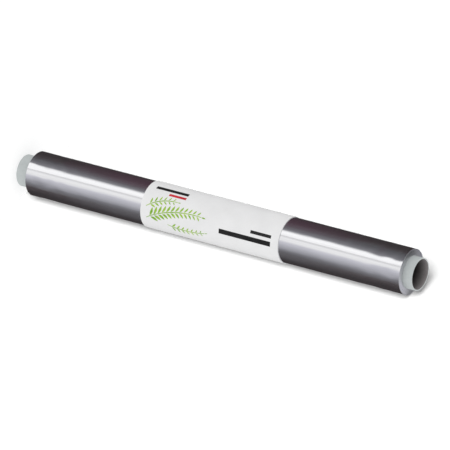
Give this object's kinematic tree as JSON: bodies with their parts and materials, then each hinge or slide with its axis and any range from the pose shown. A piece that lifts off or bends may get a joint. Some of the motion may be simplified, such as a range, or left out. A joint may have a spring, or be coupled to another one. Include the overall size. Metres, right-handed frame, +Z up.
{
  "type": "aluminium foil roll",
  "caption": "Catering roll of aluminium foil wound on a card tube, with a printed paper label round its middle.",
  "frame": {"origin": "centre of the core's lower rim, on which the roll stands", "axes": "+Z up along the roll's axis, -Y towards the side that the label's print faces"},
  "size_m": [0.0478, 0.0483, 0.4665],
  "materials": {
    "card": "matte grey-white board",
    "foil": "bright rolled, with fine lines along the roll",
    "label_paper": "smooth white, slightly glossy",
    "green_ink": "flat print",
    "dark_ink": "flat print",
    "red_ink": "flat print"
  },
  "bodies": {
    "root": {"core_tube": "card", "foil_roll": "foil", "label_band": "label_paper", "label_print_green": "green_ink", "label_print_dark": "dark_ink", "label_print_red": "red_ink"}
  },
  "joints": []
}
